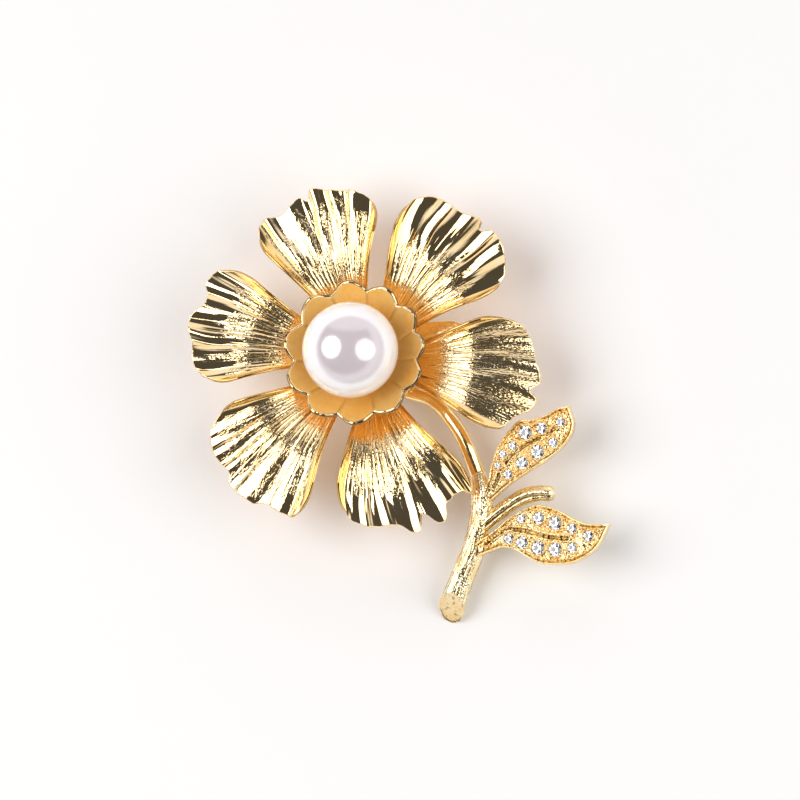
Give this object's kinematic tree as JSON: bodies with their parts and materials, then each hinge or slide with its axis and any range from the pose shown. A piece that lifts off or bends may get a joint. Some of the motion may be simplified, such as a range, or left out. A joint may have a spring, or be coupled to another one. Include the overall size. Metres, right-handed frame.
{
  "type": "flower brooch",
  "caption": "Gold-tone flower brooch: fluted petals round a pearl in a lobed cup, with a curved stem, stone-set leaves and a hinged pin with a roll-over catch.",
  "frame": {"origin": "on the pearl's axis, in the plane of the back bar's garment face", "axes": "+Z out of the flower's face, +Y to the flower's top, away from the stem, +X to the right as seen from the front"},
  "size_m": [0.0534, 0.0548, 0.0202],
  "materials": {
    "petal_gold": "polished, finely striated",
    "calyx_gold": "satin inside, polished rim",
    "stem_gold": "bark-textured satin",
    "leaf_gold": "beaded and polished",
    "finding_gold": "polished",
    "pin_wire": "drawn wire, polished",
    "pearl": "pearlescent gloss",
    "clear_stone": "faceted, clear, foil behind"
  },
  "bodies": {
    "brooch": {"petal_upper_left": "petal_gold", "petal_upper_right": "petal_gold", "petal_right": "petal_gold", "petal_lower_right": "petal_gold", "petal_lower_left": "petal_gold", "petal_left": "petal_gold", "calyx_cup": "calyx_gold", "base_disc": "finding_gold", "back_bar": "finding_gold", "pearl": "pearl", "pearl_peg": "finding_gold", "stem": "stem_gold", "stem_wire": "stem_gold", "side_twig": "stem_gold", "leaf_upper": "leaf_gold", "leaf_lower": "leaf_gold", "stone_upper_01": "clear_stone", "stone_upper_02": "clear_stone", "stone_upper_03": "clear_stone", "stone_upper_04": "clear_stone", "stone_upper_05": "clear_stone", "stone_upper_06": "clear_stone", "stone_upper_07": "clear_stone", "stone_upper_08": "clear_stone", "stone_upper_09": "clear_stone", "stone_upper_10": "clear_stone", "stone_lower_01": "clear_stone", "stone_lower_02": "clear_stone", "stone_lower_03": "clear_stone", "stone_lower_04": "clear_stone", "stone_lower_05": "clear_stone", "stone_lower_06": "clear_stone", "stone_lower_07": "clear_stone", "stone_lower_08": "clear_stone", "stone_lower_09": "clear_stone", "stone_lower_10": "clear_stone", "hinge_bracket": "finding_gold", "hinge_rivet": "finding_gold", "catch_body": "finding_gold"},
    "pin": {"pin_stem": "pin_wire"},
    "roller": {"catch_roller": "finding_gold"}
  },
  "joints": [
    {"name": "pin_hinge", "type": "hinge", "parent": "brooch", "child": "pin", "pos_m": [0.0115, 0.002, -0.0029], "axis": [0, -1, 0], "range_deg": [0, 100]},
    {"name": "catch_turn", "type": "hinge", "parent": "brooch", "child": "roller", "pos_m": [-0.0117, 0.002, -0.0029], "axis": [-1, 0, 0], "range_deg": [0, 150]}
  ]
}
